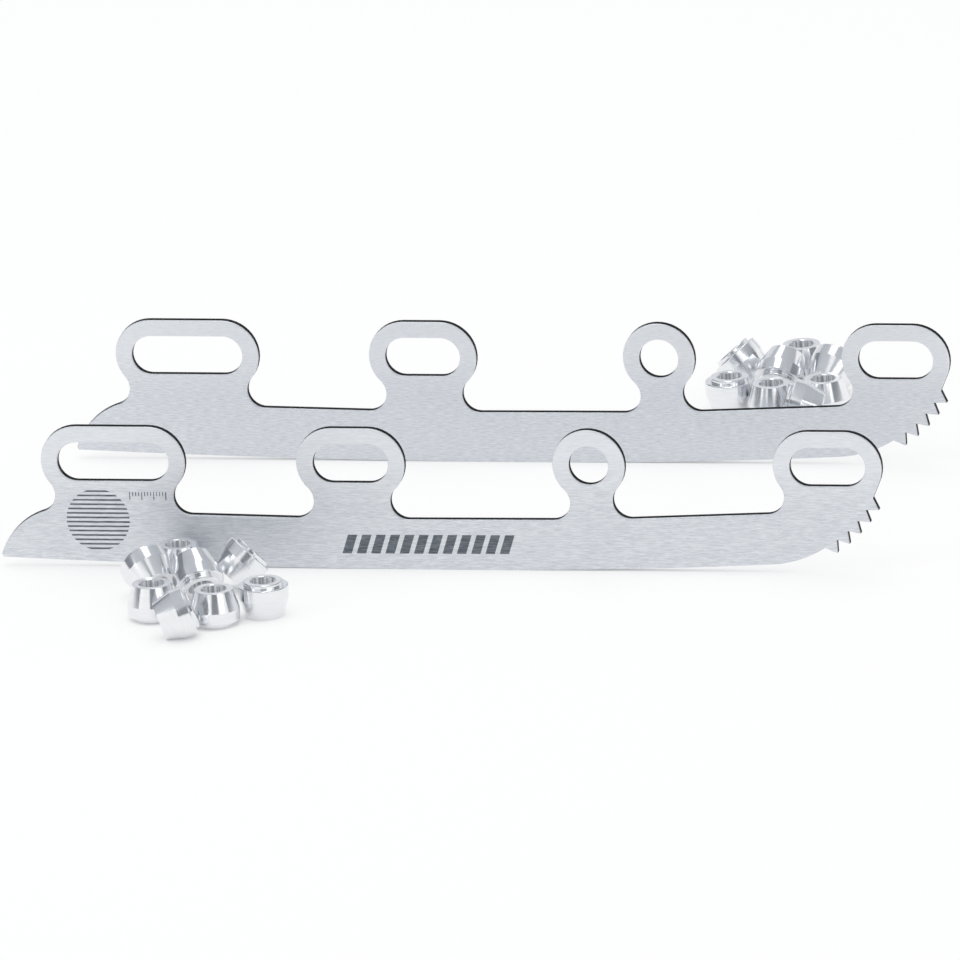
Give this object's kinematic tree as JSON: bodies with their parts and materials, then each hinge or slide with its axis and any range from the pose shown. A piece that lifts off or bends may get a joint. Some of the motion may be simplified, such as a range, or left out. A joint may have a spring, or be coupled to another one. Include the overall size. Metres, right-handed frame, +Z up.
{
  "type": "ice skate blade set",
  "caption": "Flat steel ice blades with slotted tabs and a toe pick, and turned aluminium cone spacers that fit them to an inline skate's axles.",
  "frame": {"origin": "middle of the near blade's fixed axle seat, half way through the steel", "axes": "+X along the blades towards the toe pick, +Y towards the far blade, +Z up"},
  "size_m": [0.2939, 0.2947, 0.0478],
  "materials": {
    "blade_steel": "brushed along the blade, dark laser-cut edges",
    "spacer_aluminium": "bright turned"
  },
  "bodies": {
    "near_blade": {"near_blade": "blade_steel"},
    "far_blade": {"far_blade": "blade_steel"},
    "near_spacer_1": {"near_spacer_1": "spacer_aluminium"},
    "near_spacer_2": {"near_spacer_2": "spacer_aluminium"},
    "near_spacer_3": {"near_spacer_3": "spacer_aluminium"},
    "near_spacer_4": {"near_spacer_4": "spacer_aluminium"},
    "near_spacer_5": {"near_spacer_5": "spacer_aluminium"},
    "near_spacer_6": {"near_spacer_6": "spacer_aluminium"},
    "near_spacer_7": {"near_spacer_7": "spacer_aluminium"},
    "near_spacer_8": {"near_spacer_8": "spacer_aluminium"},
    "far_spacer_1": {"far_spacer_1": "spacer_aluminium"},
    "far_spacer_2": {"far_spacer_2": "spacer_aluminium"},
    "far_spacer_3": {"far_spacer_3": "spacer_aluminium"},
    "far_spacer_4": {"far_spacer_4": "spacer_aluminium"},
    "far_spacer_5": {"far_spacer_5": "spacer_aluminium"},
    "far_spacer_6": {"far_spacer_6": "spacer_aluminium"},
    "far_spacer_7": {"far_spacer_7": "spacer_aluminium"},
    "far_spacer_8": {"far_spacer_8": "spacer_aluminium"}
  },
  "joints": [
    {"name": "far_blade_lift", "type": "slide", "parent": "near_blade", "child": "far_blade", "axis": [0, 0, 1], "range_m": [0, 0.06]},
    {"name": "near_spacer_1_lift", "type": "slide", "parent": "near_blade", "child": "near_spacer_1", "axis": [0, 0, 1], "range_m": [0, 0.03]},
    {"name": "near_spacer_2_lift", "type": "slide", "parent": "near_blade", "child": "near_spacer_2", "axis": [0, 0, 1], "range_m": [0, 0.03]},
    {"name": "near_spacer_3_lift", "type": "slide", "parent": "near_blade", "child": "near_spacer_3", "axis": [0, 0, 1], "range_m": [0, 0.03]},
    {"name": "near_spacer_4_lift", "type": "slide", "parent": "near_blade", "child": "near_spacer_4", "axis": [0, 0, 1], "range_m": [0, 0.03]},
    {"name": "near_spacer_5_lift", "type": "slide", "parent": "near_blade", "child": "near_spacer_5", "axis": [0, 0, 1], "range_m": [0, 0.03]},
    {"name": "near_spacer_6_lift", "type": "slide", "parent": "near_blade", "child": "near_spacer_6", "axis": [0, 0, 1], "range_m": [0, 0.03]},
    {"name": "near_spacer_7_lift", "type": "slide", "parent": "near_blade", "child": "near_spacer_7", "axis": [0, 0, 1], "range_m": [0, 0.03]},
    {"name": "near_spacer_8_lift", "type": "slide", "parent": "near_blade", "child": "near_spacer_8", "axis": [0, 0, 1], "range_m": [0, 0.03]},
    {"name": "far_spacer_1_lift", "type": "slide", "parent": "near_blade", "child": "far_spacer_1", "axis": [0, 0, 1], "range_m": [0, 0.03]},
    {"name": "far_spacer_2_lift", "type": "slide", "parent": "near_blade", "child": "far_spacer_2", "axis": [0, 0, 1], "range_m": [0, 0.03]},
    {"name": "far_spacer_3_lift", "type": "slide", "parent": "near_blade", "child": "far_spacer_3", "axis": [0, 0, 1], "range_m": [0, 0.03]},
    {"name": "far_spacer_4_lift", "type": "slide", "parent": "near_blade", "child": "far_spacer_4", "axis": [0, 0, 1], "range_m": [0, 0.03]},
    {"name": "far_spacer_5_lift", "type": "slide", "parent": "near_blade", "child": "far_spacer_5", "axis": [0, 0, 1], "range_m": [0, 0.03]},
    {"name": "far_spacer_6_lift", "type": "slide", "parent": "near_blade", "child": "far_spacer_6", "axis": [0, 0, 1], "range_m": [0, 0.03]},
    {"name": "far_spacer_7_lift", "type": "slide", "parent": "near_blade", "child": "far_spacer_7", "axis": [0, 0, 1], "range_m": [0, 0.03]},
    {"name": "far_spacer_8_lift", "type": "slide", "parent": "near_blade", "child": "far_spacer_8", "axis": [0, 0, 1], "range_m": [0, 0.03]}
  ]
}
